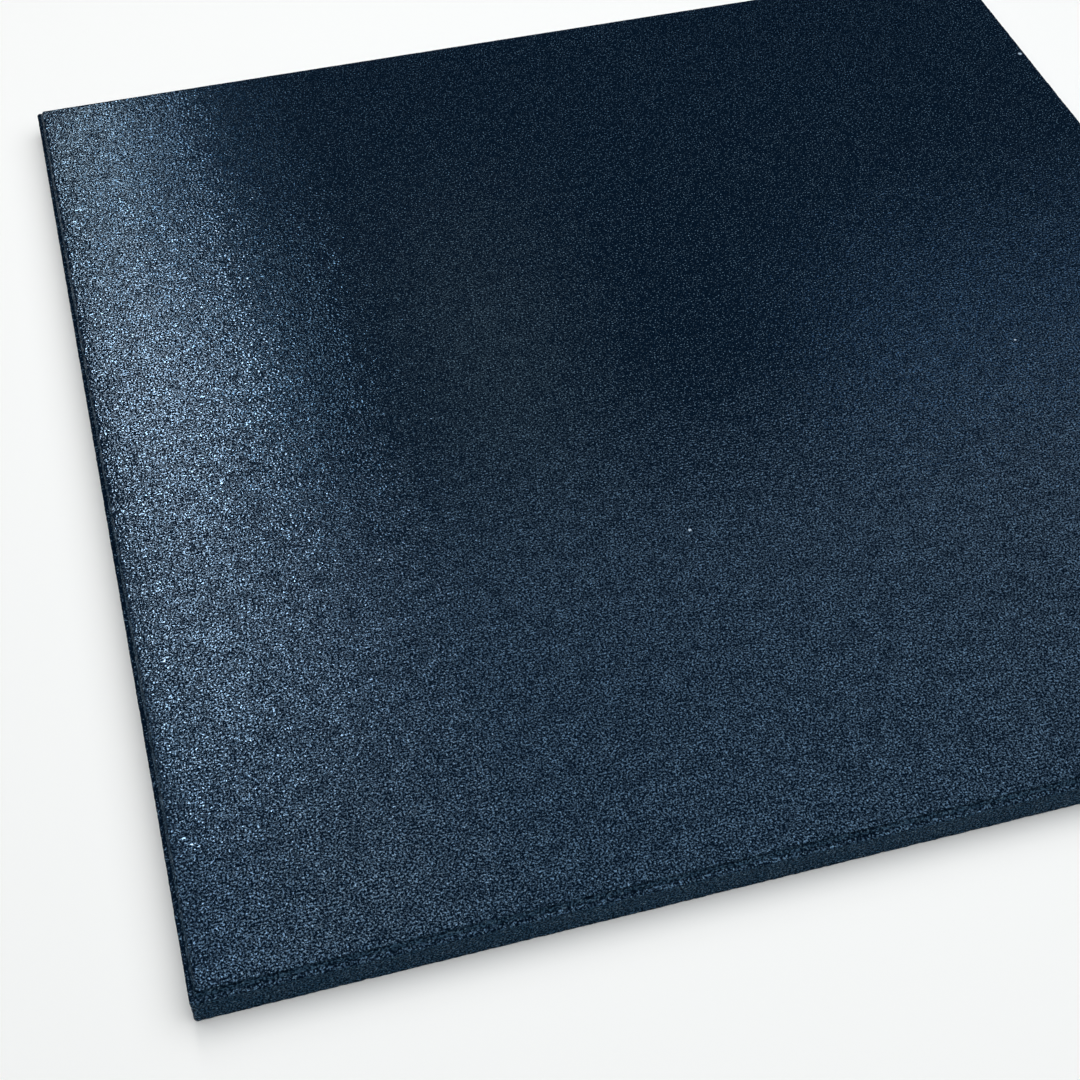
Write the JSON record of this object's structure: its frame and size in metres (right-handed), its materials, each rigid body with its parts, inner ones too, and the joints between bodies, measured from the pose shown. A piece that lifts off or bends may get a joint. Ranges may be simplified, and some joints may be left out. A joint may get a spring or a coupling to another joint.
{
  "type": "rubber gym floor tile",
  "caption": "Square black rubber floor tile with a fine granular skin and a low moulded rim stepping down round its flat top face.",
  "frame": {"origin": "middle of the tile's flat underside", "axes": "+Z out of the top face; X and Y along the sides, which are alike"},
  "size_m": [1, 1, 0.03],
  "materials": {
    "bonded_rubber_granulate": "matt, fine granules pressed flat, faint sheen"
  },
  "bodies": {
    "root": {"rubber_tile": "bonded_rubber_granulate"}
  },
  "joints": []
}
